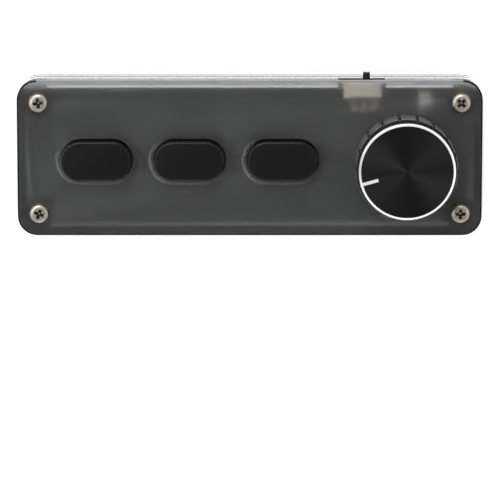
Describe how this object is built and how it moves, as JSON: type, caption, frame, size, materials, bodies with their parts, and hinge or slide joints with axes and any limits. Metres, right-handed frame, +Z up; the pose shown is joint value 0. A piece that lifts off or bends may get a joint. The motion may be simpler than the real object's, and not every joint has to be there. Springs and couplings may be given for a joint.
{
  "type": "macro keypad",
  "caption": "Low desktop macro keypad: a bolted acrylic sandwich case with pill-shaped keys in a row, a fluted push-and-turn knob, and a slide switch at the back.",
  "frame": {"origin": "On the desk under the middle of the footprint, the slide lever's reach included; z = 0 is the plane of the feet.", "axes": "+X along the row of keys towards the knob, +Y towards the edge with the slide switch, +Z up."},
  "size_m": [0.119, 0.0416, 0.029],
  "materials": {
    "smoked_acrylic": "satin, translucent smoke grey",
    "clear_acrylic": "clear, polished faces",
    "foot_rubber": "soft matte black",
    "nylon": "natural white",
    "brass": "turned",
    "nickel_steel": "nickel plated",
    "board_laminate": "black solder mask",
    "chip_epoxy": "matte black",
    "component_ceramic": "tan ceramic",
    "led_plastic": "milky white",
    "tinned_steel": "tin plated, warm",
    "brown_laminate": "brown phenolic board",
    "black_plastic": "moulded black",
    "stem_plastic": "dark grey acetal",
    "keycap_plastic": "fine matte black",
    "cast_zinc": "die cast",
    "spring_steel": "bright wire and strip",
    "shaft_metal": "turned",
    "black_aluminium": "black anodised, spun face, bright cut ring",
    "white_inlay": "white filled line"
  },
  "bodies": {
    "case": {"base_plate": "smoked_acrylic", "lower_frame": "clear_acrylic", "upper_frame": "clear_acrylic", "top_plate": "smoked_acrylic", "foot_pads": "foot_rubber", "board_spacers": "nylon", "standoffs": "brass", "top_screws": "nickel_steel", "base_screws": "nickel_steel", "circuit_board": "board_laminate", "controller_chip": "chip_epoxy", "board_components": "component_ceramic", "indicator_led": "led_plastic", "usb_shell": "tinned_steel", "usb_tongue": "black_plastic", "switch_shell": "tinned_steel", "switch_shield": "black_plastic", "switch_base": "brown_laminate", "switch_terminals": "tinned_steel", "contact_leaves": "brass", "encoder_clip": "tinned_steel", "encoder_base": "black_plastic", "encoder_pins": "tinned_steel", "encoder_bush": "cast_zinc", "encoder_washer": "nickel_steel", "encoder_nut": "nickel_steel", "push_dome": "spring_steel", "key_base_left": "black_plastic", "key_cover_left": "black_plastic", "key_spring_left": "spring_steel", "key_base_middle": "black_plastic", "key_cover_middle": "black_plastic", "key_spring_middle": "spring_steel", "key_base_right": "black_plastic", "key_cover_right": "black_plastic", "key_spring_right": "spring_steel"},
    "key_left": {"key_cap_left": "keycap_plastic", "key_stem_left": "stem_plastic"},
    "key_middle": {"key_cap_middle": "keycap_plastic", "key_stem_middle": "stem_plastic"},
    "key_right": {"key_cap_right": "keycap_plastic", "key_stem_right": "stem_plastic"},
    "push_plunger": {"push_plunger": "nylon"},
    "knob": {"knob_shell": "black_aluminium", "pointer_line": "white_inlay", "knob_core": "black_plastic", "encoder_shaft": "shaft_metal", "encoder_rotor": "black_plastic"},
    "slide_lever": {"slide_lever": "black_plastic"}
  },
  "joints": [
    {"name": "key_left_press", "type": "slide", "parent": "case", "child": "key_left", "axis": [0, 0, -1], "range_m": [0, 0.003], "stiffness_N_per_m": 100, "springref_m": -0.003, "deforming": ["key_spring_left"]},
    {"name": "key_middle_press", "type": "slide", "parent": "case", "child": "key_middle", "axis": [0, 0, -1], "range_m": [0, 0.003], "stiffness_N_per_m": 100, "springref_m": -0.003, "deforming": ["key_spring_middle"]},
    {"name": "key_right_press", "type": "slide", "parent": "case", "child": "key_right", "axis": [0, 0, -1], "range_m": [0, 0.003], "stiffness_N_per_m": 100, "springref_m": -0.003, "deforming": ["key_spring_right"]},
    {"name": "knob_press", "type": "slide", "parent": "case", "child": "push_plunger", "axis": [0, 0, -1], "range_m": [0, 0.0005], "stiffness_N_per_m": 3000, "springref_m": -0.0005, "deforming": ["push_dome"]},
    {"name": "knob_turn", "type": "hinge", "parent": "push_plunger", "child": "knob", "pos_m": [0.0398, -0.0023, 0.0185], "axis": [0, 0, 1], "continuous": true},
    {"name": "slide_switch_travel", "type": "slide", "parent": "case", "child": "slide_lever", "axis": [-1, 0, 0], "range_m": [0, 0.0024]}
  ]
}
